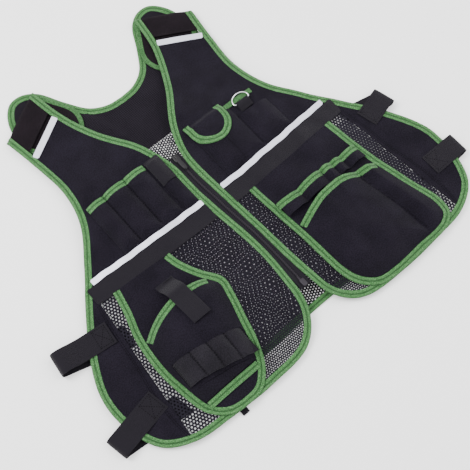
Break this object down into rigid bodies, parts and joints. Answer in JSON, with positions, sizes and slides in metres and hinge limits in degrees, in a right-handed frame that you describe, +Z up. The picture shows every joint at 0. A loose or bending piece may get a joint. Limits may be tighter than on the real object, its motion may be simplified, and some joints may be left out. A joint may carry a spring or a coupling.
{
  "type": "utility work vest",
  "caption": "Sleeveless zip-front work vest of cloth and mesh with bound edges, tool pockets, loops and side straps, lying face up.",
  "frame": {"origin": "middle of the footprint, on the surface that the vest lies on", "axes": "+Z up off the surface, +Y towards the neck, +X towards the wearer's left"},
  "size_m": [0.7436, 0.6618, 0.0573],
  "materials": {
    "black_mesh": "fine black warp-knit net",
    "black_cloth": "plain-woven blue-black polyester",
    "green_edging": "heathered green binding tape with a stitched middle line",
    "black_pad": "matt black padded cloth",
    "black_webbing": "ribbed black webbing",
    "reflective_tape": "pale grey reflective tape with a fine diagonal grain",
    "zip_plastic": "dark moulded nylon",
    "ring_metal": "bright plated steel wire"
  },
  "bodies": {
    "vest": {"back_mesh": "black_mesh", "back_yoke": "black_cloth", "back_edging": "green_edging", "chest_panel_left": "black_cloth", "chest_panel_right": "black_cloth", "front_mesh_left": "black_mesh", "front_mesh_right": "black_mesh", "side_panel_left": "black_cloth", "side_panel_right": "black_cloth", "front_edging_left": "green_edging", "front_edging_right": "green_edging", "belt_webbing_left": "black_webbing", "belt_webbing_right": "black_webbing", "chest_strip_left": "reflective_tape", "chest_strip_right": "reflective_tape", "shoulder_strip_left": "reflective_tape", "shoulder_strip_right": "reflective_tape", "shoulder_pad_left": "black_pad", "shoulder_pad_right": "black_pad", "pad_edging_left": "green_edging", "pad_edging_right": "green_edging", "zip_tape_left": "black_webbing", "zip_tape_right": "black_webbing", "zip_coil": "zip_plastic", "zip_pin_box": "zip_plastic", "zip_slider": "zip_plastic", "side_strap_right_upper": "black_webbing", "side_strap_right_lower": "black_webbing", "side_strap_left_upper": "black_webbing", "side_strap_left_lower": "black_webbing", "hem_tab": "black_webbing", "pen_pocket": "black_cloth", "pen_pocket_edging": "green_edging", "slim_pocket": "black_cloth", "slim_pocket_tab": "black_webbing", "chest_pocket": "black_cloth", "pocket_flap": "black_cloth", "flap_edging": "green_edging", "ring_tape": "green_edging", "ring_loop": "black_webbing", "large_panel": "black_cloth", "large_panel_edging": "green_edging", "large_pocket": "black_cloth", "large_pocket_edging": "green_edging", "tool_loops": "black_cloth", "tool_loops_edging": "green_edging", "tool_panel": "black_cloth", "tool_panel_edging": "green_edging", "tool_pouch": "black_cloth", "pouch_mouth_edging": "green_edging", "pouch_base_edging": "green_edging", "pouch_tab": "black_webbing", "bit_loops": "black_webbing"},
    "ring": {"d_ring": "ring_metal"}
  },
  "joints": [
    {"name": "ring_swing", "type": "hinge", "parent": "vest", "child": "ring", "pos_m": [0.14864, 0.06313, 0.02394], "axis": [1, 0, 0], "range_deg": [0, 150]}
  ]
}
